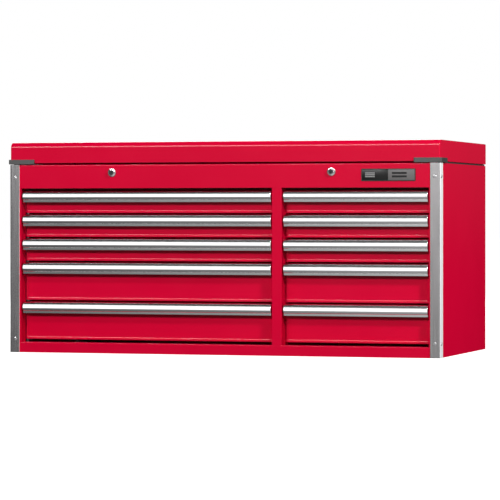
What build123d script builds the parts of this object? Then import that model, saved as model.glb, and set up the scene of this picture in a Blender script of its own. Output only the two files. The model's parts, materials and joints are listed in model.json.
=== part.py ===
"""Top tool chest with a lid, ten drawers in two banks, two locks and two gas struts.

Millimetres. X runs across the front, +Y to the back, +Z up. The origin is under the centre of the
whole object, which the locks lengthen in front and the hinge lengthens behind.
"""

import math
import os

from build123d import *

# ---- overall sizes -------------------------------------------------------------------------
WIDTH = 1372.0            # over the corner posts
DEPTH = 635.0             # front of the posts to the outside of the back
BODY_HEIGHT = 581.5       # top of the cabinet
LID_BOTTOM = 587.0
LID_TOP = 651.0
SHEET = 1.0               # wrapper and lid
FRAME_SHEET = 1.2         # front frame
PAN_SHEET = 1.2           # base pan

POST_THICK = 2.5
LOCK_PROUD = 8.5                          # lock face in front of the header
KNUCKLE_R = 2.5                           # hinge knuckle, centred on the outside of the back
POST_FRONT = (LOCK_PROUD - POST_THICK - KNUCKLE_R - DEPTH) / 2
BACK = POST_FRONT + DEPTH
POST_FRONT_LEG = 31.0
POST_SIDE_LEG = 36.0
POST_TOP = 582.0
SCREW_Z = (42.6, 541.3)                   # heights of the post screws
FACE_Y = POST_FRONT + POST_THICK          # front of the header, stiles and lid
SIDE_X = WIDTH / 2 - POST_THICK           # outside of the wrapper's sides
INNER_X = SIDE_X - SHEET

# ---- front frame ---------------------------------------------------------------------------
HEADER_BOTTOM = 508.0
RAIL_TOP = 32.5
OPENING_X = 650.0                         # stile edge, both sides
DIVIDER = (162.5, 194.0)                  # left and right edge of the divider
TILL_FLOOR = 505.0
TILL_FLANGE = 11.0
RECESS = 32.0                             # post front to drawer face
STRIP = 3.5                               # inner lip of each return
DRAWER_FACE = POST_FRONT + RECESS

# ---- drawers -------------------------------------------------------------------------------
FRONT_TOP = 501.0
FRONT_HEIGHTS = (68.9, 68.9, 68.9, 117.3, 116.4)
FRONT_GAP = 5.0
FRONT_SIDE_GAP = 6.5                      # opening edge to front edge
FRONT_DEPTH = 12.0
FOOT_BORDER = 8.5                         # raised border along the foot of each front
SIDE_BORDER = 5.0
BORDER_RISE = 0.5
LEDGE = 2.6                               # width of the soft step from the border to the field
FOOT_R = 1.8
PULL_SIDE_GAP = 3.9                       # opening edge to pull end
TRAY_SHEET = 0.9
TRAY_DEPTH = 556.0
TRAY_DROP = 9.0                           # front top down to the tray's rim
TRAY_LIFT = 3.0                           # front bottom up to the tray's floor
SLIDE_WIDTH = 12.7
SLIDE_HEIGHT = 45.0
SLIDE_LENGTH = 559.0
SLIDE_FRONT = DRAWER_FACE + 17.5
SLIDE_CENTRE = 30.0                       # tray floor up to the slide's centre line
SLIDE_INSET = 13.5                        # front edge to tray side

PULL_HEIGHT = 35.0
PULL_CAP = 8.0

# ---- lid, hinge and struts -----------------------------------------------------------------
LID_X = 684.5
LID_RISE = 10.0                           # height and depth of the slope along the front
LID_RUN = 12.0
LID_CREASE_R = 14.0                       # outside radius of the two folds along the front
HINGE_Z = (BODY_HEIGHT + LID_BOTTOM) / 2
PIN_R = 1.2
BORE_R = 1.4
HINGE_LENGTH = 1336.0
KNUCKLES = 21
KNUCKLE_GAP = 0.5
LEAF = 1.0
LEAF_HEIGHT = 22.0

STRUT_X = 662.0
STRUT_LOW = (BACK - 35.0, 530.0)          # Y, Z of the cabinet stud
STRUT_HIGH = (BACK - 195.0, 614.0)        # Y, Z of the lid stud, lid closed
STRUT_EYE = 12.0                          # eye thickness along X
CYLINDER_END = 126.0                      # along the strut from the cabinet stud
BORE_START = 22.0

LOCK_X = 350.0
LOCK_Z = 556.6


def block(x0, x1, y0, y1, z0, z1):
    """A box from its two corners."""
    size = Box(x1 - x0, y1 - y0, z1 - z0, align=(Align.MIN, Align.MIN, Align.MIN))
    return Pos(x0, y0, z0) * size


def span(low, high):
    """A box from two opposite corners given as points."""
    return block(low[0], high[0], low[1], high[1], low[2], high[2])


def rod_x(x0, x1, y, z, radius):
    """A cylinder along X."""
    shape = Cylinder(radius, x1 - x0, align=(Align.CENTER, Align.CENTER, Align.MIN))
    return Pos(x0, y, z) * Rot(0, 90, 0) * shape


def rod_y(x, y0, y1, z, radius):
    """A cylinder along Y."""
    shape = Cylinder(radius, y1 - y0, align=(Align.CENTER, Align.CENTER, Align.MIN))
    return Pos(x, y1, z) * Rot(90, 0, 0) * shape


def bar_x(outline, x0, x1, soft=(), radius=0.0):
    """Extrudes an outline drawn in (Y, Z) from x0 to x1, its corners listed in soft rounded."""
    face = make_face(outline)
    corners = [v for v in face.vertices() if any(math.hypot(v.X - y, v.Y - z) < 0.01 for y, z in soft)]
    if corners:
        face = fillet(corners, radius)
    return Pos(x0, 0, 0) * extrude(Plane.YZ * face, amount=x1 - x0, dir=(1, 0, 0))


def mirror_x(shape):
    """The same shape on the other side of the YZ plane."""
    return mirror(shape, about=Plane.YZ)


def edges_at(shape, axis, **where):
    """Edges parallel to an axis whose centre has the given x, y or z."""
    found = shape.edges().filter_by(axis)
    for name, value in where.items():
        letter = name[0].upper()
        found = ShapeList(e for e in found if abs(getattr(e.center(), letter) - value) < 0.01)
    return found


# ---- cabinet -------------------------------------------------------------------------------
def cabinet_wrapper():
    """Sides and back bent from one sheet, with a hem turned in round the top."""
    corner = 3.0
    front = FACE_Y + FRAME_SHEET
    outer = block(-SIDE_X, SIDE_X, front, BACK, 0, BODY_HEIGHT)
    outer = fillet(edges_at(outer, Axis.Z, y=BACK), corner)
    inner = block(-INNER_X, INNER_X, front - 5, BACK - SHEET, -5, BODY_HEIGHT + 5)
    inner = fillet(edges_at(inner, Axis.Z, y=BACK - SHEET), corner - SHEET)
    hem = 10.0
    rim = block(-INNER_X, INNER_X, front, BACK - SHEET, BODY_HEIGHT - SHEET, BODY_HEIGHT)
    rim -= block(-INNER_X + hem, INNER_X - hem, front - 5, BACK - SHEET - hem, 0, BODY_HEIGHT + 5)
    rim -= block(-INNER_X, INNER_X, front - 1, front + 14, 0, BODY_HEIGHT + 5)
    return (outer - inner) + (rim & inner)


def base_pan():
    """Bottom sheet with three flanges turned up inside the wrapper."""
    front = FACE_Y + FRAME_SHEET
    height = 24.0
    pan = block(-INNER_X, INNER_X, front, BACK - SHEET, 0, height)
    pan = fillet(edges_at(pan, Axis.Z, y=BACK - SHEET), 2.0)
    x = INNER_X - PAN_SHEET
    return pan - block(-x, x, front + PAN_SHEET, BACK - SHEET - PAN_SHEET, PAN_SHEET, height + 1)


def front_frame():
    """Header, stiles, divider and bottom rail with their returned edges."""
    back = FACE_Y + FRAME_SHEET
    lip = DRAWER_FACE + FRAME_SHEET
    plate = block(-SIDE_X, SIDE_X, FACE_Y, back, 0, BODY_HEIGHT)
    banks = ((-OPENING_X, DIVIDER[0]), (DIVIDER[1], OPENING_X))
    for left, right in banks:
        low, high = RAIL_TOP - FRAME_SHEET, HEADER_BOTTOM + FRAME_SHEET
        plate += block(left - FRAME_SHEET, right + FRAME_SHEET, back, lip, low, high)
        plate -= block(left, right, FACE_Y - 1, lip - FRAME_SHEET, RAIL_TOP, HEADER_BOTTOM)
        plate -= block(left + STRIP, right - STRIP, FACE_Y, lip + 1, RAIL_TOP, HEADER_BOTTOM)
    hem, hem_end = 13.0, SIDE_X - 3
    plate += block(-hem_end, hem_end, FACE_Y, back + hem, BODY_HEIGHT - FRAME_SHEET, BODY_HEIGHT)
    plate = fillet(edges_at(plate, Axis.X, y=FACE_Y, z=BODY_HEIGHT), 3.0)
    opening_edges = edges_at(plate, Axis.Z, y=FACE_Y) + edges_at(plate, Axis.X, y=FACE_Y)
    soft = ShapeList(e for e in opening_edges if RAIL_TOP - 1 < e.center().Z < HEADER_BOTTOM + 1)
    soft = ShapeList(e for e in soft if abs(e.center().X) < OPENING_X + 1)
    plate = fillet(soft, 2.0)
    seam = (HEADER_BOTTOM - 0.6, HEADER_BOTTOM)
    plate -= block(DIVIDER[0] - 1, DIVIDER[1] + 1, FACE_Y - 1, FACE_Y + 0.5, *seam)
    for x in (-LOCK_X, LOCK_X):
        plate -= rod_y(x, FACE_Y - 1, back + 1, LOCK_Z, 10.6)
    return plate


def centre_partition():
    """Hollow wall between the banks, from the divider to the back."""
    left = DIVIDER[0] - FRONT_SIDE_GAP - SLIDE_INSET + SLIDE_WIDTH
    right = DIVIDER[1] + FRONT_SIDE_GAP + SLIDE_INSET - SLIDE_WIDTH
    front = SLIDE_FRONT - 3
    back = BACK - SHEET - PAN_SHEET
    top = 503.0
    wall = block(left, right, front, back, PAN_SHEET, top)
    wall -= block(left + SHEET, right - SHEET, front + SHEET, back - SHEET, PAN_SHEET + SHEET, top - SHEET)
    neck_left = DIVIDER[0] + FRAME_SHEET
    neck_right = DIVIDER[1] - FRAME_SHEET
    neck = block(neck_left, neck_right, FACE_Y + FRAME_SHEET, front, RAIL_TOP, top)
    neck -= block(neck_left + SHEET, neck_right - SHEET, FACE_Y, front, RAIL_TOP - 1, top + 1)
    return wall + neck


def till_floor():
    """Tray floor under the lid, with flanges turned down at its sides and back."""
    front = DRAWER_FACE + FRAME_SHEET + 0.3
    back = BACK - SHEET
    floor = block(-INNER_X, INNER_X, front, back, TILL_FLOOR - TILL_FLANGE, TILL_FLOOR)
    floor = fillet(edges_at(floor, Axis.Z, y=back), 2.0)
    under = TILL_FLOOR - SHEET
    return floor - block(-INNER_X + SHEET, INNER_X - SHEET, front - 1, back - SHEET, 0, under)


def slide_uprights():
    """Four punched channels inside the side walls that carry the slides."""
    inner = OPENING_X - FRONT_SIDE_GAP - SLIDE_INSET + SLIDE_WIDTH
    outer = INNER_X - PAN_SHEET
    depth = 30.0
    shapes = []
    for y in (SLIDE_FRONT, SLIDE_FRONT + SLIDE_LENGTH - depth - 6):
        post = block(inner, outer, y, y + depth, PAN_SHEET, 503)
        post -= block(inner + 1.5, outer + 1, y + 1.5, y + depth - 1.5, 0, 504)
        for z in range(60, 500, 40):
            post -= block(inner - 1, inner + 2, y + 11, y + 19, z, z + 16)
        shapes += [post, mirror_x(post)]
    return Compound(children=shapes)


def corner_post():
    """Right-hand brushed angle with a rounded outer corner and four screw holes."""
    half = WIDTH / 2
    post = block(half - POST_FRONT_LEG, half, POST_FRONT, POST_FRONT + POST_SIDE_LEG, 0, POST_TOP)
    post = fillet(edges_at(post, Axis.Z, x=half, y=POST_FRONT), 4.5)
    post -= block(0, half - POST_THICK, FACE_Y, 0, -1, POST_TOP + 1)
    ends = edges_at(post, Axis.Z, x=half - POST_FRONT_LEG, y=POST_FRONT)
    ends += edges_at(post, Axis.Z, x=half, y=POST_FRONT + POST_SIDE_LEG)
    return fillet(ends, 0.8)


def pan_head(radius, height):
    """A domed screw head with a cross recess, base at Z 0."""
    head = Cylinder(radius, height, align=(Align.CENTER, Align.CENTER, Align.MIN))
    head = fillet(head.edges().group_by(Axis.Z)[-1], height * 0.7)
    for across, along in ((radius, 1.3), (1.3, radius)):
        slot = Box(across, along, height, align=(Align.CENTER, Align.CENTER, Align.MIN))
        head -= Pos(0, 0, height * 0.55) * slot
    return head


def cabinet_fasteners():
    """Post screws on both faces and the fixed studs of the two struts."""
    shapes = []
    for z in SCREW_Z:
        front = Pos(WIDTH / 2 - 17, POST_FRONT, z) * Rot(90, 0, 0) * pan_head(5.2, 2.4)
        side = Pos(WIDTH / 2, POST_FRONT + 13, z) * Rot(0, 90, 0) * pan_head(5.2, 2.4)
        shapes += [front, side, mirror_x(front), mirror_x(side)]
    inside = STRUT_X - STRUT_EYE / 2
    stud = rod_x(inside - 1, INNER_X, STRUT_LOW[0], STRUT_LOW[1], 4.0)
    stud += rod_x(inside - 4, inside - 0.8, STRUT_LOW[0], STRUT_LOW[1], 6.5)
    stud += rod_x(INNER_X - 5, INNER_X, STRUT_LOW[0], STRUT_LOW[1], 9.0)
    shapes += [stud, mirror_x(stud)]
    return Compound(children=shapes)


def slide_member(web, height, reach, length, face, into, y, z):
    """One channel of a slide: web at X = face + web, flanges reaching along `into` (+1 or -1)."""
    sheet = 1.2
    x = sorted((face + into * web, face + into * reach))
    body = block(x[0], x[1], y, y + length, z - height / 2, z + height / 2)
    cut = sorted((face + into * (web + sheet), face + into * (reach + 5)))
    body -= block(cut[0], cut[1], y - 1, y + length + 1, z - height / 2 + sheet, z + height / 2 - sheet)
    return body


def drawer_rows():
    """(row number, front bottom, front top) from the top down."""
    top = FRONT_TOP
    rows = []
    for number, height in enumerate(FRONT_HEIGHTS, 1):
        rows.append((number, top - height, top))
        top -= height + FRONT_GAP
    return rows


def slide_faces(left, right):
    """X of each slide's cabinet side, and the way it reaches, for one bank."""
    reach = SLIDE_INSET - SLIDE_WIDTH
    return ((left + FRONT_SIDE_GAP + reach, 1), (right - FRONT_SIDE_GAP - reach, -1))


def cabinet_rails(banks):
    """The outer member of every slide, fixed to the uprights and the partition."""
    shapes = []
    for _, left, right in banks:
        for _, bottom, _ in drawer_rows():
            z = bottom + TRAY_LIFT + SLIDE_CENTRE
            for face, into in slide_faces(left, right):
                shapes.append(slide_member(0, SLIDE_HEIGHT, 9.5, SLIDE_LENGTH, face, into, SLIDE_FRONT, z))
    return Compound(children=shapes)


def mid_rails(left, right, bottom):
    """The two middle members of one drawer's slides."""
    z = bottom + TRAY_LIFT + SLIDE_CENTRE
    height = SLIDE_HEIGHT - 4.4
    pair = []
    for face, into in slide_faces(left, right):
        member = slide_member(2.4, height, 11.2, SLIDE_LENGTH - 4, face, into, SLIDE_FRONT + 2, z)
        pair.append(member)
    return Compound(children=pair)


def drawer_rails(left, right, bottom):
    """The two members screwed to one drawer."""
    z = bottom + TRAY_LIFT + SLIDE_CENTRE
    height = SLIDE_HEIGHT - 8.8
    pair = []
    for face, into in slide_faces(left, right):
        tray_side = face + into * SLIDE_WIDTH
        member = slide_member(0, height, 8.0, SLIDE_LENGTH - 8, tray_side, -into, SLIDE_FRONT + 1, z)
        pair.append(member)
    return Compound(children=pair)


# ---- drawers -------------------------------------------------------------------------------
def border_section(place, width):
    """Section of a raised border with a soft step down to the field.

    place turns (distance from the front's edge, height above the field) into a point of the sketch.
    """
    rise, step = BORDER_RISE / 2, LEDGE / 2
    top, middle, foot = place(width - LEDGE, 2 * rise), place(width - step, rise), place(width, 0)
    return (
        Line(place(0, 2 * rise), top)
        + ThreePointArc(top, place(width - 1.5 * step, 1.75 * rise), middle)
        + ThreePointArc(middle, place(width - 0.5 * step, 0.25 * rise), foot)
        + Polyline(foot, place(width, -BORDER_RISE), place(0, -BORDER_RISE), place(0, 2 * rise))
    )


def folded_front(left, right, bottom, top):
    """Hollow drawer front: a flat field with a raised border along its foot and up its sides."""
    def at_foot(distance, height):
        return DRAWER_FACE - height, bottom + distance

    def at_left(distance, height):
        return left + distance, DRAWER_FACE - height

    def at_right(distance, height):
        return right - distance, DRAWER_FACE - height

    back = DRAWER_FACE + FRONT_DEPTH
    front = block(left, right, DRAWER_FACE, back, bottom, top)
    front += bar_x(border_section(at_foot, FOOT_BORDER), left, right)
    side_height = top - PULL_HEIGHT - bottom
    for place in (at_left, at_right):
        side = make_face(border_section(place, SIDE_BORDER))
        front += Pos(0, 0, bottom) * extrude(side, amount=side_height, dir=(0, 0, 1))
    front = fillet(edges_at(front, Axis.X, y=DRAWER_FACE - BORDER_RISE, z=bottom), FOOT_R)
    inner_low = (left + SHEET, DRAWER_FACE + SHEET, bottom + SHEET)
    inner_high = (right - SHEET, back - SHEET, top - SHEET)
    return front - span(inner_low, inner_high)


def drawer(left, right, bottom, top):
    """Tray welded behind its folded front."""
    x0, x1 = left + FRONT_SIDE_GAP, right - FRONT_SIDE_GAP
    front = folded_front(x0, x1, bottom, top)
    t0, t1 = x0 + SLIDE_INSET, x1 - SLIDE_INSET
    y0 = DRAWER_FACE + FRONT_DEPTH
    z0, z1 = bottom + TRAY_LIFT, top - TRAY_DROP
    tray = block(t0, t1, y0, y0 + TRAY_DEPTH, z0, z1)
    tray -= block(t0 + TRAY_SHEET, t1 - TRAY_SHEET, y0 + TRAY_SHEET, y0 + TRAY_DEPTH - TRAY_SHEET,
                  z0 + TRAY_SHEET, z1 + 1)
    hem = 5.0
    rim = block(t0, t1, y0, y0 + TRAY_DEPTH, z1 - TRAY_SHEET, z1)
    rim -= block(t0 + hem, t1 - hem, y0 + hem, y0 + TRAY_DEPTH - hem, z1 - 2, z1 + 1)
    return front + tray + rim


def pull_point(reach, height, top):
    """(Y, Z) of a point of the pull's section: reach in front of the drawer face, height above its foot."""
    return DRAWER_FACE - reach, top - PULL_HEIGHT + height


def pull_outer(top):
    """The outer skin of the pull's section, from the drawer face over the nose to the foot."""
    def p(reach, height):
        return pull_point(reach, height, top)

    return (
        Line(p(0, 35), p(17, 35))
        + ThreePointArc(p(17, 35), p(22.1, 32.1), p(25.6, 27.2))
        + ThreePointArc(p(25.6, 27.2), p(27.7, 21.6), p(28.5, 15.7))
        + ThreePointArc(p(28.5, 15.7), p(27.3, 10.6), p(24, 6.5))
        + Line(p(24, 6.5), p(22.8, 0))
    )


def pull(left, right, top):
    """Extruded pull with a cap at each end, open underneath for the fingers."""
    def p(reach, height):
        return pull_point(reach, height, top)

    x0, x1 = left + PULL_SIDE_GAP, right - PULL_SIDE_GAP
    inner = (
        Line(p(22.8, 0), p(21.0, 0))
        + Line(p(21.0, 0), p(22.2, 7.1))
        + ThreePointArc(p(22.2, 7.1), p(25.6, 11.2), p(26.7, 15.7))
        + ThreePointArc(p(26.7, 15.7), p(25.9, 21.1), p(24.0, 26.4))
        + ThreePointArc(p(24.0, 26.4), p(20.9, 30.7), p(17.0, 33.2))
        + Line(p(17.0, 33.2), p(1.8, 33.2))
        + Line(p(1.8, 33.2), p(1.8, 10))
        + Line(p(1.8, 10), p(0, 10))
        + Line(p(0, 10), p(0, 35))
    )
    strip = bar_x(pull_outer(top) + inner, x0 + PULL_CAP, x1 - PULL_CAP)
    closing = Line(p(22.8, 0), p(0, 5)) + Line(p(0, 5), p(0, 35))
    caps = []
    for start, outer_face in ((x0, x0), (x1 - PULL_CAP, x1)):
        cap = bar_x(pull_outer(top) + closing, start, start + PULL_CAP)
        rim = ShapeList(
            e for e in cap.edges()
            if abs(e.center().X - outer_face) < 0.01 and e.center().Y < DRAWER_FACE - 0.5
        )
        caps.append(fillet(rim, 1.6))
    return Compound(children=[strip, *caps])


# ---- locks and plate -----------------------------------------------------------------------
def lock_barrels():
    """Two chromed housings with a stepped bezel."""
    shapes = []
    for x in (-LOCK_X, LOCK_X):
        bezel = rod_y(x, FACE_Y - 4.0, FACE_Y, LOCK_Z, 13.0)
        bezel = fillet(bezel.edges().group_by(Axis.Y)[0], 1.5)
        bezel += rod_y(x, FACE_Y - LOCK_PROUD, FACE_Y - 3, LOCK_Z, 10.0)
        bezel = fillet(bezel.edges().group_by(Axis.Y)[0], 1.2)
        bezel += rod_y(x, FACE_Y, FACE_Y + 20, LOCK_Z, 10.2)
        bezel -= rod_y(x, FACE_Y - 10, FACE_Y + 21, LOCK_Z, 7.3)
        shapes.append(bezel)
    return Compound(children=shapes)


def lock_plug(x):
    """Turning plug with a key slot and a cam behind the header."""
    plug = rod_y(x, FACE_Y - 8.0, FACE_Y + 24, LOCK_Z, 7.0)
    plug -= block(x - 1.0, x + 1.0, FACE_Y - 9, FACE_Y + 4, LOCK_Z - 4.6, LOCK_Z + 4.6)
    cam = block(x - 6, x + 26, FACE_Y + 21.5, FACE_Y + 24, LOCK_Z - 6, LOCK_Z + 6)
    return plug + fillet(cam.edges().filter_by(Axis.Y), 3.0)


def name_plate():
    """Plain plate with a raised border, no lettering."""
    left, right, bottom, top, border = 443.0, 610.0, 528.0, 565.0, 2.2
    plate = block(left, right, FACE_Y - 1.6, FACE_Y, bottom, top)
    plate = fillet(edges_at(plate, Axis.Y), 1.5)
    field = (left + border, right - border, FACE_Y - 2, FACE_Y - 1.0, bottom + border, top - border)
    return plate - block(*field)


# ---- lid -----------------------------------------------------------------------------------
def lid_body(inset, floor):
    """The lid's volume, shrunk by inset, from Z = floor up."""
    x, y0, y1, top = LID_X - inset, FACE_Y + inset, BACK - inset, LID_TOP - inset
    rise = LID_RISE - inset * 0.4
    run = LID_RUN - inset * 0.4
    outline = Polyline((y0, floor), (y0, top - rise), (y0 + run, top), (y1, top), (y1, floor), close=True)
    shape = bar_x(outline, -x, x, [(y0, top - rise), (y0 + run, top)], LID_CREASE_R - inset)
    radius = 3.0 - inset
    rear = edges_at(shape, Axis.X, y=y1, z=top)
    corners = edges_at(shape, Axis.Z)
    sides = ShapeList(
        e for e in shape.edges()
        if abs(abs(e.center().X) - x) < 0.01 and e.center().Z > top - rise + 0.01 and e.length > 5
    )
    return fillet(rear + corners + sides, radius)


def lid_shell():
    """Folded lid with a hem round the bottom edge and the two welded strut studs."""
    hem = 10.0
    shell = lid_body(0, LID_BOTTOM) - lid_body(SHEET, LID_BOTTOM - 5)
    rim = block(-LID_X + 2, LID_X - 2, FACE_Y + 0.5, BACK - 0.5, LID_BOTTOM, LID_BOTTOM + SHEET)
    rim -= block(-LID_X + hem, LID_X - hem, FACE_Y + hem, BACK - hem, LID_BOTTOM - 1, LID_BOTTOM + 5)
    shell += rim & lid_body(0.4, LID_BOTTOM)
    inside = LID_X - SHEET
    tip = STRUT_X + STRUT_EYE / 2 + 0.8
    stud = rod_x(tip, inside, STRUT_HIGH[0], STRUT_HIGH[1], 4.0)
    stud += rod_x(tip, tip + 2.5, STRUT_HIGH[0], STRUT_HIGH[1], 6.5)
    stud += rod_x(inside - 2, inside + 0.4, STRUT_HIGH[0], STRUT_HIGH[1], 11.0)
    return shell + stud + mirror_x(stud)


def lid_corner_guards():
    """Moulded guards round the two lower front corners of the lid."""
    outer_x, front, leg_x, leg_y = 690.0, FACE_Y - 5.0, 605.0, POST_FRONT + 81
    z0, z1 = 583.5, 597.5
    guard = block(leg_x, outer_x, front, leg_y, z0, z1)
    guard = fillet(edges_at(guard, Axis.Z, x=outer_x, y=front), 5.0)
    guard -= block(0, LID_X - 9, FACE_Y + 9, 200, z0 - 1, z1 + 1)
    lid = block(0, LID_X, FACE_Y, 200, LID_BOTTOM, z1 + 1)
    guard -= fillet(edges_at(lid, Axis.Z, x=LID_X, y=FACE_Y), 3.0)
    faces = guard.faces().filter_by(Axis.Y).group_by(Axis.Y)[0].edges()
    faces += guard.faces().filter_by(Axis.X).group_by(Axis.X)[-1].edges()
    guard = chamfer(ShapeList(e for e in faces.filter_by(Axis.Z) if e.length > 5), 1.6)
    return Compound(children=[guard, mirror_x(guard)])


def knuckle_spans(first):
    """X spans of every second knuckle along the hinge, from the given one."""
    pitch = HINGE_LENGTH / KNUCKLES
    start = -HINGE_LENGTH / 2
    half = KNUCKLE_GAP / 2
    return [(start + i * pitch + half, start + (i + 1) * pitch - half) for i in range(first, KNUCKLES, 2)]


def hinge_leaf(first, bore, up):
    """A leaf on the outside of the back with its knuckles: up is +1 for the lid, -1 for the cabinet."""
    half = HINGE_LENGTH / 2
    z = sorted((HINGE_Z + up * (KNUCKLE_R + 0.4), HINGE_Z + up * LEAF_HEIGHT))
    leaf = block(-half, half, BACK, BACK + LEAF, z[0], z[1])
    neck = sorted((HINGE_Z, HINGE_Z + up * (KNUCKLE_R + 0.6)))
    for x0, x1 in knuckle_spans(first):
        knuckle = rod_x(x0, x1, BACK, HINGE_Z, KNUCKLE_R)
        knuckle += block(x0, x1, BACK, BACK + LEAF, neck[0], neck[1])
        leaf += knuckle - rod_x(x0 - 1, x1 + 1, BACK, HINGE_Z, bore)
    return leaf


def hinge_cabinet_leaf():
    """Fixed leaf with the full-length pin."""
    half = HINGE_LENGTH / 2
    pin = rod_x(-half, half, BACK, HINGE_Z, PIN_R)
    return Compound(children=[hinge_leaf(0, PIN_R, -1), pin])


def hinge_lid_leaf():
    """Moving leaf, running on the pin."""
    return hinge_leaf(1, BORE_R, 1)


# ---- gas struts ----------------------------------------------------------------------------
def along_strut(shape):
    """Moves a shape drawn along +Z from the origin onto the right-hand strut's axis."""
    rise = STRUT_HIGH[1] - STRUT_LOW[1]
    run = STRUT_HIGH[0] - STRUT_LOW[0]
    tilt = -math.degrees(math.atan2(run, rise))
    return Pos(STRUT_X, STRUT_LOW[0], STRUT_LOW[1]) * Rot(tilt, 0, 0) * shape


def strut_length():
    return math.hypot(STRUT_HIGH[0] - STRUT_LOW[0], STRUT_HIGH[1] - STRUT_LOW[1])


def post_z(z0, z1, radius):
    """A cylinder along Z."""
    return Pos(0, 0, z0) * Cylinder(radius, z1 - z0, align=(Align.CENTER, Align.CENTER, Align.MIN))


def strut_cylinders():
    """Pressure tubes with their lower eyes."""
    eye = Rot(0, 90, 0) * Cylinder(7.5, STRUT_EYE)
    tube = eye + post_z(4, 14, 5.0) + post_z(12, CYLINDER_END, 8.0)
    tube = fillet(tube.edges().group_by(Axis.Z)[-1], 1.5)
    tube -= post_z(BORE_START, CYLINDER_END - 7, 6.5)
    tube -= post_z(BORE_START, CYLINDER_END + 5, 4.3)
    tube -= Rot(0, 90, 0) * Cylinder(4.3, STRUT_EYE + 2)
    tube = along_strut(tube)
    return Compound(children=[tube, mirror_x(tube)])


def strut_rods():
    """Rods with a piston inside the tube and an eye at the lid."""
    length = strut_length()
    rod = post_z(BORE_START + 6, length - 4, 4.0) + post_z(BORE_START + 6, BORE_START + 14, 6.2)
    rod += Pos(0, 0, length) * Rot(0, 90, 0) * Cylinder(7.5, STRUT_EYE)
    rod += post_z(length - 16, length - 5, 5.0)
    rod = along_strut(rod)
    return Compound(children=[rod, mirror_x(rod)])


def build():
    """Every node's name and shape."""
    banks = (("L", -OPENING_X, DIVIDER[0]), ("R", DIVIDER[1], OPENING_X))
    nodes = {
        "cabinet_wrapper": cabinet_wrapper(),
        "base_pan": base_pan(),
        "front_frame": front_frame(),
        "centre_partition": centre_partition(),
        "till_floor": till_floor(),
        "slide_uprights": slide_uprights(),
        "cabinet_rails": cabinet_rails(banks),
        "corner_post_right": corner_post(),
        "corner_post_left": mirror_x(corner_post()),
        "cabinet_fasteners": cabinet_fasteners(),
        "lock_barrels": lock_barrels(),
        "lock_plug_left": lock_plug(-LOCK_X),
        "lock_plug_right": lock_plug(LOCK_X),
        "name_plate": name_plate(),
        "lid_shell": lid_shell(),
        "lid_corner_guards": lid_corner_guards(),
        "hinge_cabinet_leaf": hinge_cabinet_leaf(),
        "hinge_lid_leaf": hinge_lid_leaf(),
        "strut_cylinders": strut_cylinders(),
        "strut_rods": strut_rods(),
    }
    for bank, left, right in banks:
        for row, bottom, top in drawer_rows():
            tag = f"{bank}{row}"
            nodes[f"drawer_{tag}"] = drawer(left, right, bottom, top)
            nodes[f"pull_{tag}"] = pull(left, right, top)
            nodes[f"drawer_rails_{tag}"] = drawer_rails(left, right, bottom)
            nodes[f"mid_rails_{tag}"] = mid_rails(left, right, bottom)
    return nodes


os.makedirs("parts", exist_ok=True)
for node, shape in build().items():
    export_step(shape, f"parts/{node}.step")
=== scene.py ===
"""Looks of the top tool chest: materials, drawer liners, plate, rim seal, light and camera.

Metres, in the part's own frame: X across the front, +Y to the back, +Z up.
"""

import json
import math

import bmesh
import bpy
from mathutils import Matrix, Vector


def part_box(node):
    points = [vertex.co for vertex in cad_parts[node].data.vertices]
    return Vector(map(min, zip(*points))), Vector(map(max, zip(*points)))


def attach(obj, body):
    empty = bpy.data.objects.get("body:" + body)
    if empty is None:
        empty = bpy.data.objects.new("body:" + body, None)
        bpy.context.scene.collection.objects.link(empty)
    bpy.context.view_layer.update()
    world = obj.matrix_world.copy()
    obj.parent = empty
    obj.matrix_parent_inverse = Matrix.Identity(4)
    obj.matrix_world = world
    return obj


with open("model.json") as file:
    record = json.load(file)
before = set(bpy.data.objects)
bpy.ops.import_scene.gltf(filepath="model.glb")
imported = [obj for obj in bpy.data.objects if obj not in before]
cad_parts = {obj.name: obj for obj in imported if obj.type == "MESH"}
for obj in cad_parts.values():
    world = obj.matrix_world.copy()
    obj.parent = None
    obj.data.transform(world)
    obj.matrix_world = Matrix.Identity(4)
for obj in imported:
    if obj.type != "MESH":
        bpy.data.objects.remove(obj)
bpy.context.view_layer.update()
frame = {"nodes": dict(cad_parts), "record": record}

nodes = frame["nodes"]
BANKS = "LR"
ROWS = (1, 2, 3, 4, 5)
MM = 0.001


# ---- mesh helpers --------------------------------------------------------------------------
def new_object(name, mesh):
    """Links a mesh as an object."""
    obj = bpy.data.objects.new(name, mesh)
    bpy.context.scene.collection.objects.link(obj)
    return obj


def finish_mesh(name, bm, smooth_deg=35):
    """Turns a bmesh into an object, smooth but for its hard edges."""
    bmesh.ops.recalc_face_normals(bm, faces=bm.faces[:])
    mesh = bpy.data.meshes.new(name)
    bm.to_mesh(mesh)
    bm.free()
    for polygon in mesh.polygons:
        polygon.use_smooth = True
    mesh.set_sharp_from_angle(angle=math.radians(smooth_deg))
    return new_object(name, mesh)


def add_block(bm, low, high, bevel=0.0, segments=2):
    """Adds a box between two corners to a bmesh, with rounded edges."""
    low, high = Vector(low), Vector(high)
    made = bmesh.ops.create_cube(bm, size=1.0)["verts"]
    size, middle = high - low, (low + high) / 2
    for vert in made:
        vert.co = Vector(vert.co[i] * size[i] + middle[i] for i in range(3))
    if bevel:
        edges = {e for v in made for e in v.link_edges}
        bmesh.ops.bevel(bm, geom=list(edges), offset=bevel, segments=segments, profile=0.5, affect="EDGES")


RIB_SHAPE = ((0.10, 0), (0.28, 1), (0.72, 1), (0.90, 0))   # share of the pitch, share of the rib's height


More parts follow.
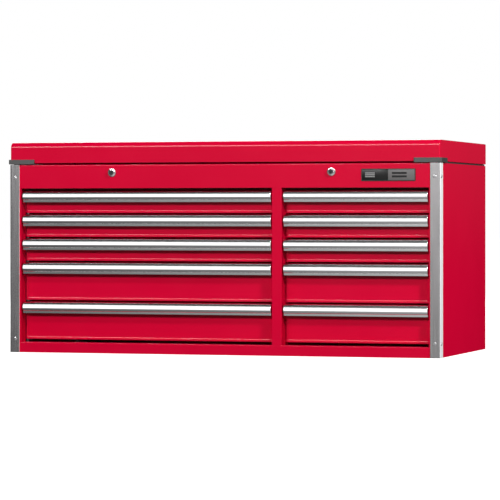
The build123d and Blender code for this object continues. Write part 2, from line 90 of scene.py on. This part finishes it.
def add_ribbed_sheet(bm, low, high, pitch, rib):
    """Adds a mat whose top is a row of flat-topped ribs running along Y."""
    x0, y0, z0 = low
    x1, y1, z1 = high
    count = max(4, round((x1 - x0) / pitch))
    step = (x1 - x0) / count
    outline = [(x0, z0)]
    for i in range(count):
        left = x0 + i * step
        outline += [(left + step * along, z1 - rib * (1 - up)) for along, up in RIB_SHAPE]
    outline.append((x1, z0))
    front = [bm.verts.new((x, y0, z)) for x, z in outline]
    back = [bm.verts.new((x, y1, z)) for x, z in outline]
    for i in range(len(outline)):
        j = (i + 1) % len(outline)
        bm.faces.new((front[i], front[j], back[j], back[i]))
    bm.faces.new(front[::-1])
    bm.faces.new(back)


# ---- materials -----------------------------------------------------------------------------
class Shader:
    """A material's node tree with short ways to add nodes and links."""

    def __init__(self, name):
        self.material = bpy.data.materials.new(name)
        self.material.use_nodes = True
        self.tree = self.material.node_tree
        self.surface = self.tree.nodes["Principled BSDF"]
        self.place = self.add("ShaderNodeTexCoord").outputs["Object"]

    def add(self, kind, **settings):
        node = self.tree.nodes.new(kind)
        for key, value in settings.items():
            setattr(node, key, value)
        return node

    def link(self, output, target):
        self.tree.links.new(output, target)

    def set(self, **values):
        """Sets the surface's own sockets: base_color=..., coat_weight=... and so on."""
        for key, value in values.items():
            label = " ".join(w.upper() if w == "ior" else w.capitalize() for w in key.split("_"))
            self.surface.inputs[label].default_value = value

    def noise(self, scale, detail=2.0, stretch=(1, 1, 1), roughness=0.5):
        """A noise texture's value, stretched by scaling the coordinates."""
        mapping = self.add("ShaderNodeMapping")
        mapping.inputs["Scale"].default_value = stretch
        self.link(self.place, mapping.inputs["Vector"])
        texture = self.add("ShaderNodeTexNoise")
        texture.inputs["Scale"].default_value = scale
        texture.inputs["Detail"].default_value = detail
        texture.inputs["Roughness"].default_value = roughness
        self.link(mapping.outputs["Vector"], texture.inputs["Vector"])
        return texture.outputs["Fac"]

    def ramp(self, value, low, high, start=0.3, end=0.7):
        """Maps a value between start and end to two colours or numbers."""
        if isinstance(low, tuple):
            node = self.add("ShaderNodeValToRGB")
            node.color_ramp.elements[0].position = start
            node.color_ramp.elements[1].position = end
            node.color_ramp.elements[0].color = (*low, 1)
            node.color_ramp.elements[1].color = (*high, 1)
            self.link(value, node.inputs["Fac"])
            return node.outputs["Color"]
        node = self.add("ShaderNodeMapRange")
        for label, number in (("From Min", start), ("From Max", end), ("To Min", low), ("To Max", high)):
            node.inputs[label].default_value = number
        self.link(value, node.inputs["Value"])
        return node.outputs["Result"]

    def bump(self, height, depth):
        """Bumps the surface's normal by a value, its depth in metres."""
        node = self.add("ShaderNodeBump")
        node.inputs["Distance"].default_value = depth
        node.inputs["Strength"].default_value = 1.0
        self.link(height, node.inputs["Height"])
        self.link(node.outputs["Normal"], self.surface.inputs["Normal"])


def red_paint():
    """Glossy powder coat: a faint orange peel and a slow drift of the colour."""
    s = Shader("red_paint")
    s.set(specular_ior_level=0.25)
    drift = s.noise(2.2, detail=3)
    s.link(s.ramp(drift, (0.600, 0.0000, 0.0290), (0.640, 0.0002, 0.0325)), s.surface.inputs["Base Color"])
    s.link(s.ramp(s.noise(9, detail=3), 0.15, 0.19), s.surface.inputs["Roughness"])
    s.bump(s.noise(420, detail=1), 0.000012)
    return s.material


def brushed_metal(name, colour, grain, roughness, tint):
    """Aluminium or steel with fine scratches along one axis: grain holds the three frequencies."""
    s = Shader(name)
    s.set(metallic=1.0)
    scratches = s.noise(1.0, detail=4, stretch=grain, roughness=0.65)
    dark = tuple(c * (1 - tint) for c in colour)
    light = tuple(min(1.0, c * (1 + tint * 0.5)) for c in colour)
    s.link(s.ramp(scratches, dark, light), s.surface.inputs["Base Color"])
    s.link(s.ramp(scratches, roughness * 0.98, roughness * 1.02), s.surface.inputs["Roughness"])
    return s.material


def post_metal():
    """Aluminium angle brushed upright, its side leg painted paler and less metallic than its front as a
    painted sheen.
    """
    front_metallic, painted_sheen_side_metallic = 1.0, 0.12
    s = Shader("post_aluminium")
    scratches = s.noise(1.0, detail=4, stretch=(700, 700, 6), roughness=0.65)
    way = s.add("ShaderNodeSeparateXYZ")
    s.link(s.add("ShaderNodeTexCoord").outputs["Normal"], way.inputs["Vector"])
    across = s.add("ShaderNodeMath", operation="ABSOLUTE")
    s.link(way.outputs["X"], across.inputs[0])
    # Picks the side leg by its normal: its pale, less metallic look is a painted sheen, not the metal's own
    # colour.
    side = s.ramp(across.outputs["Value"], 0.0, 1.0, 0.6, 0.9)
    tone = s.add("ShaderNodeMixRGB")
    s.link(side, tone.inputs["Fac"])
    s.link(s.ramp(scratches, (0.62, 0.60, 0.61), (0.76, 0.74, 0.75)), tone.inputs["Color1"])
    # The side leg's near-white is a painted sheen.
    tone.inputs["Color2"].default_value = (0.96, 0.97, 0.98, 1)
    s.link(tone.outputs["Color"], s.surface.inputs["Base Color"])
    s.link(s.ramp(side, front_metallic, painted_sheen_side_metallic, 0.0, 1.0), s.surface.inputs["Metallic"])
    s.link(s.ramp(scratches, 0.18, 0.26), s.surface.inputs["Roughness"])
    s.bump(scratches, 0.000004)
    return s.material


def plain_metal(name, colour, roughness):
    """Polished or plated metal with faint smears in its gloss."""
    smear = 0.05
    s = Shader(name)
    s.set(metallic=1.0, base_color=(*colour, 1))
    s.link(s.ramp(s.noise(60, detail=4), roughness, roughness + smear), s.surface.inputs["Roughness"])
    s.bump(s.noise(900, detail=2), 0.000004)
    return s.material


def zinc_plate():
    """Bright zinc with the patchy tone of a plated pressing."""
    s = Shader("zinc_steel")
    s.set(metallic=1.0)
    patches = s.noise(45, detail=5)
    s.link(s.ramp(patches, (0.47, 0.48, 0.50), (0.62, 0.63, 0.64)), s.surface.inputs["Base Color"])
    s.link(s.ramp(patches, 0.30, 0.42), s.surface.inputs["Roughness"])
    s.bump(s.noise(700, detail=2), 0.000008)
    return s.material


def moulded(name, low, high, roughness, grain_scale, grain_depth, specular=0.5):
    """Moulded plastic or rubber with a fine grain, from a dark tone (low) to a paler one (high)."""
    s = Shader(name)
    s.set(specular_ior_level=specular)
    grain = s.noise(grain_scale, detail=3)
    s.link(s.ramp(grain, low, high), s.surface.inputs["Base Color"])
    wear = 0.1
    s.link(s.ramp(s.noise(30, detail=2), roughness, roughness + wear), s.surface.inputs["Roughness"])
    s.bump(grain, grain_depth)
    return s.material


# moulded's numbers: roughness, the grain's frequency, its depth in metres, specular level
MATERIALS = {
    "red_paint": red_paint(),
    "pull_aluminium": brushed_metal("pull_aluminium", (0.80, 0.80, 0.81), (4, 500, 500), 0.16, 0.05),
    "post_aluminium": post_metal(),
    "zinc_steel": zinc_plate(),
    "guard_plastic": moulded("guard_plastic", (0.024, 0.023, 0.023), (0.034, 0.032, 0.032),
                             0.42, 1500, 0.00003, 0.7),
    "lock_chrome": plain_metal("lock_chrome", (0.80, 0.80, 0.81), 0.08),
    "screw_steel": plain_metal("screw_steel", (0.70, 0.70, 0.71), 0.22),
    "rod_chrome": plain_metal("rod_chrome", (0.78, 0.78, 0.79), 0.07),
    "strut_black": moulded("strut_black", (0.010, 0.010, 0.011), (0.016, 0.016, 0.017), 0.35, 800, 0.00001),
    "plate": moulded("plate_border", (0.020, 0.018, 0.018), (0.030, 0.027, 0.027), 0.35, 900, 0.00001, 0.3),
}
LOCK_FACE = plain_metal("lock_face", (0.07, 0.07, 0.072), 0.25)
PLATE_DARK = moulded("plate_dark", (0.010, 0.010, 0.010), (0.016, 0.016, 0.016), 0.30, 900, 0.00001, 0.2)
PLATE_GREY = moulded("plate_grey", (0.120, 0.112, 0.112), (0.150, 0.142, 0.142), 0.42, 900, 0.00001, 0.3)
PLATE_PALE = moulded("plate_pale", (0.24, 0.24, 0.24), (0.30, 0.30, 0.30), 0.40, 900, 0.00001, 0.3)
LINER = moulded("liner_foam", (0.012, 0.012, 0.013), (0.028, 0.028, 0.029), 0.80, 1400, 0.00010)
RUBBER = moulded("rubber", (0.014, 0.014, 0.014), (0.022, 0.022, 0.022), 0.65, 900, 0.00003)


def paint_cad_nodes():
    """Gives every CAD node its slot's material, the turning plugs a darker face."""
    for entry in frame["record"]["subparts"]:
        obj = nodes[entry["node"]]
        material = LOCK_FACE if entry["node"].startswith("lock_plug") else MATERIALS[entry["material_slot"]]
        for slot in obj.material_slots:
            slot.material = material
        if not obj.material_slots:
            obj.data.materials.append(material)


# ---- pieces --------------------------------------------------------------------------------
def keep(obj, body, material):
    """Material and body of a new piece."""
    obj.data.materials.append(material)
    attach(obj, body)


def name_plate_inlays():
    """Two plain fields inside the plate's border, with plain bars and no lettering."""
    low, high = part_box("name_plate")
    border, gap, left_share = 2.6 * MM, 0.2 * MM, 0.495
    y_back, y_front = low.y + 0.55 * MM, low.y - 0.05 * MM
    split = low.x + (high.x - low.x) * left_share
    fields = (("plate_field_left", low.x + border, split, PLATE_DARK),
              ("plate_field_right", split + gap, high.x - border, PLATE_GREY))
    for name, x0, x1, material in fields:
        bm = bmesh.new()
        add_block(bm, (x0, y_front, low.z + border), (x1, y_back, high.z - border), 0.3 * MM)
        keep(finish_mesh(name, bm), "cabinet", material)
    middle, inset = (low.z + high.z) / 2, 12 * MM
    bar_front, bar_back = y_front - 0.12 * MM, y_front + 0.2 * MM
    bars = (("plate_bars_left", low.x + inset, 30 * MM, 3, 3.2 * MM, PLATE_PALE),
            ("plate_bars_right", split + inset, 46 * MM, 2, 6.0 * MM, PLATE_DARK))
    for name, x, length, count, thick, material in bars:
        bm = bmesh.new()
        pitch = thick * 1.7
        for i in range(count):
            z = middle + (i - (count - 1) / 2) * pitch
            add_block(bm, (x, bar_front, z - thick / 2), (x + length, bar_back, z + thick / 2), 0.15 * MM, 1)
        keep(finish_mesh(name, bm), "cabinet", material)


def liner(name, low, high, body):
    """A ribbed foam mat lying on a floor."""
    bm = bmesh.new()
    add_ribbed_sheet(bm, low, high, pitch=8 * MM, rib=0.9 * MM)
    keep(finish_mesh(name, bm, 50), body, LINER)


def liners():
    """One mat in every drawer and one in the till, each a hair above its floor."""
    wall, margin, thick, lift = 0.9 * MM, 2.5 * MM, 2.6 * MM, 0.05 * MM
    slide_room, tray_lift, front_depth = 13.5 * MM, 3.0 * MM, 12 * MM
    for bank in BANKS:
        for row in ROWS:
            tag = f"{bank}{row}"
            low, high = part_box(f"drawer_{tag}")
            inset = slide_room + wall + margin
            floor_z = low.z + tray_lift + wall + lift
            front = low.y + front_depth + wall + margin
            liner(f"liner_{tag}", (low.x + inset, front, floor_z),
                  (high.x - inset, high.y - wall - margin, floor_z + thick), f"drawer_{tag}")
    low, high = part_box("till_floor")
    edge = 4 * MM
    liner("liner_till", (low.x + edge, low.y + edge, high.z + lift),
          (high.x - edge, high.y - edge, high.z + lift + thick), "cabinet")


def rim_seal():
    """Rubber seal on the cabinet's rim, along both sides and the back, just under the closed lid."""
    low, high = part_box("cabinet_wrapper")
    bottom, top = high.z + 0.02 * MM, high.z + 5.0 * MM
    edge, width, corner_gap, bevel = 3.0 * MM, 6.5 * MM, 0.1 * MM, 1.2 * MM
    front, back = low.y + 16 * MM, high.y - edge
    bm = bmesh.new()
    for side in (-1, 1):
        x0, x1 = sorted((side * (high.x - edge), side * (high.x - edge - width)))
        add_block(bm, (x0, front, bottom), (x1, back, top), bevel, 3)
    inner = high.x - edge - width - corner_gap
    add_block(bm, (-inner, back - width, bottom), (inner, back, top), bevel, 3)
    keep(finish_mesh("rim_seal", bm), "cabinet", RUBBER)


# ---- studio --------------------------------------------------------------------------------
def world_ramp(tree, value, stops):
    """A grey picked by a value from -1 to 1: stops are (value, grey) pairs."""
    spread = tree.nodes.new("ShaderNodeMapRange")
    spread.inputs["From Min"].default_value = -1
    tree.links.new(value, spread.inputs["Value"])
    node = tree.nodes.new("ShaderNodeValToRGB")
    ramp = node.color_ramp
    while len(ramp.elements) < len(stops):
        ramp.elements.new(0.5)
    for element, (at, grey) in zip(ramp.elements, stops):
        element.position = (at + 1) / 2
        element.color = (grey, grey, grey, 1)
    tree.links.new(spread.outputs["Result"], node.inputs["Fac"])
    return node.outputs["Color"]


def world_product(tree, first, second):
    """Two greys multiplied."""
    node = tree.nodes.new("ShaderNodeMixRGB")
    node.blend_type = "MULTIPLY"
    node.inputs["Fac"].default_value = 1
    tree.links.new(first, node.inputs["Color1"])
    tree.links.new(second, node.inputs["Color2"])
    return node.outputs["Color"]


def background(tree, colour=None, strength=1.0):
    """A background shader, white or with a linked colour."""
    node = tree.nodes.new("ShaderNodeBackground")
    node.inputs["Color"].default_value = (1, 1, 1, 1)
    node.inputs["Strength"].default_value = strength
    if colour is not None:
        tree.links.new(colour, node.inputs["Color"])
    return node.outputs[0]


def surround():
    """White to look at, dark with a pale band low in front for mirror rays, and a weak fill light."""
    world = bpy.data.worlds.new("surround")
    bpy.context.scene.world = world
    world.use_nodes = True
    tree = world.node_tree
    tree.nodes.clear()
    way = tree.nodes.new("ShaderNodeSeparateXYZ")
    place = tree.nodes.new("ShaderNodeTexCoord")
    tree.links.new(place.outputs["Generated"], way.inputs["Vector"])
    x, y, z = (way.outputs[i] for i in range(3))
    height = world_ramp(tree, z, MIRROR_HEIGHT)
    mirrored = world_product(tree, world_product(tree, height, world_ramp(tree, x, MIRROR_SIDE)),
                             world_ramp(tree, y, MIRROR_DEPTH))
    path = tree.nodes.new("ShaderNodeLightPath")
    shade = background(tree, world_ramp(tree, z, FILL_HEIGHT))
    views = (("Is Glossy Ray", background(tree, mirrored, MIRROR_STRENGTH)),
             ("Is Camera Ray", background(tree)))
    for ray, seen in views:
        mix = tree.nodes.new("ShaderNodeMixShader")
        tree.links.new(path.outputs[ray], mix.inputs["Fac"])
        tree.links.new(shade, mix.inputs[1])
        tree.links.new(seen, mix.inputs[2])
        shade = mix.outputs[0]
    out = tree.nodes.new("ShaderNodeOutputWorld")
    tree.links.new(shade, out.inputs["Surface"])


def floor():
    """Pale paper that brightens away from the chest until it meets the white surround."""
    bm = bmesh.new()
    bmesh.ops.create_grid(bm, x_segments=1, y_segments=1, size=FLOOR_HALF)
    obj = finish_mesh("floor", bm)
    s = Shader("floor_paper")
    s.set(roughness=0.9, specular_ior_level=0.0, base_color=(*FLOOR_GREY, 1), emission_color=(1, 1, 1, 1))
    distance = s.add("ShaderNodeVectorMath", operation="LENGTH")
    s.link(s.place, distance.inputs[0])
    glow = s.ramp(distance.outputs["Value"], *FLOOR_GLOW, *FLOOR_GLOW_REACH)
    s.link(glow, s.surface.inputs["Emission Strength"])
    obj.data.materials.append(s.material)
    obj.visible_glossy = False
    obj.visible_diffuse = False


def area_light(name, azimuth, elevation, distance, width, height, radiance):
    """A soft rectangular light. Azimuth is from the front towards +X, radiance is its own brightness."""
    aim = Vector((0, 0, 0.35))
    light = bpy.data.lights.new(name, "AREA")
    light.shape = "RECTANGLE"
    light.size, light.size_y = width, height
    light.energy = radiance * math.pi * width * height
    obj = bpy.data.objects.new(name, light)
    a, e = math.radians(azimuth), math.radians(elevation)
    way = Vector((math.sin(a) * math.cos(e), -math.cos(a) * math.cos(e), math.sin(e)))
    obj.location = aim + way * distance
    obj.rotation_euler = (-way).to_track_quat("-Z", "Y").to_euler()
    bpy.context.scene.collection.objects.link(obj)
    return obj


def shine_on(lamp, meshes):
    """Limits a light to some meshes. Every light gets a list: one without came out too bright."""
    group = bpy.data.collections.new(f"{lamp.name}_receivers")
    for obj in meshes:
        group.objects.link(obj)
    lamp.light_linking.receiver_collection = group


def aim_lights(key, strip, front_wall, side_wall, back_fill):
    """The soft front wall is for the pulls alone, the hard strip and the back fill for everything else."""
    meshes = [obj for obj in bpy.context.scene.objects if obj.type == "MESH"]
    pulls = [obj for obj in meshes if obj.name.startswith("pull_")]
    shine_on(front_wall, pulls)
    shine_on(strip, [obj for obj in meshes if obj not in pulls])
    shine_on(back_fill, [obj for obj in meshes if obj not in pulls])
    shine_on(key, meshes)
    shine_on(side_wall, meshes)


def camera():
    """Level view from the right of the front, with a long lens. The heading is in radians."""
    place, heading = (2.6662, -8.6762, 0.4274), 0.2986
    data = bpy.data.cameras.new("camera")
    data.lens = 207.86
    data.sensor_width = 36.0
    data.shift_x = 0.0013
    data.shift_y = -0.0708
    data.clip_end = 200
    obj = bpy.data.objects.new("camera", data)
    obj.location = place
    obj.rotation_euler = (math.radians(90), 0, heading)
    bpy.context.scene.collection.objects.link(obj)
    bpy.context.scene.camera = obj


# pairs of a direction's height, side or depth, from -1 to 1, and a grey: for mirror rays, then for the fill
MIRROR_HEIGHT = ((-1.0, 0.19), (-0.50, 0.20), (-0.37, 0.28), (-0.30, 0.50), (-0.23, 0.26), (-0.12, 0.10),
                 (-0.02, 0.02), (0.03, 0.42), (0.3, 0.22), (0.6, 0.12), (0.9, 0.07))
MIRROR_SIDE = ((-0.37, 0.12), (-0.33, 0.42), (-0.27, 0.45), (-0.235, 1.0))
MIRROR_DEPTH = ((-0.3, 1.0), (0.3, 0.05))
MIRROR_STRENGTH = 2.2
FILL_HEIGHT = ((-0.2, 0.14), (0.3, 0.06))
FLOOR_HALF = 40
FLOOR_GREY = (0.45, 0.45, 0.45)
FLOOR_GLOW = (0.92, 1.0)
FLOOR_GLOW_REACH = (1.2, 4.5)          # metres from the middle where each glow is reached

scene = bpy.context.scene
scene.view_settings.view_transform = "Standard"
scene.view_settings.look = "None"
camera()
surround()
floor()
# name, azimuth, elevation, distance, width, height, radiance
key = area_light("key", 54, 31, 4.5, 0.5, 0.5, 147)
strip = area_light("strip", -17, 22, 6.5, 4.6, 1.0, 21)
front_wall = area_light("front_wall", -17, 17, 6.6, 6.0, 4.6, 1.5)
side_wall = area_light("side_wall", 95, 20, 5.0, 2.0, 2.0, 12)
back_fill = area_light("back_fill", 200, 30, 6.0, 4.0, 2.0, 7)
paint_cad_nodes()
name_plate_inlays()
liners()
rim_seal()
aim_lights(key, strip, front_wall, side_wall, back_fill)
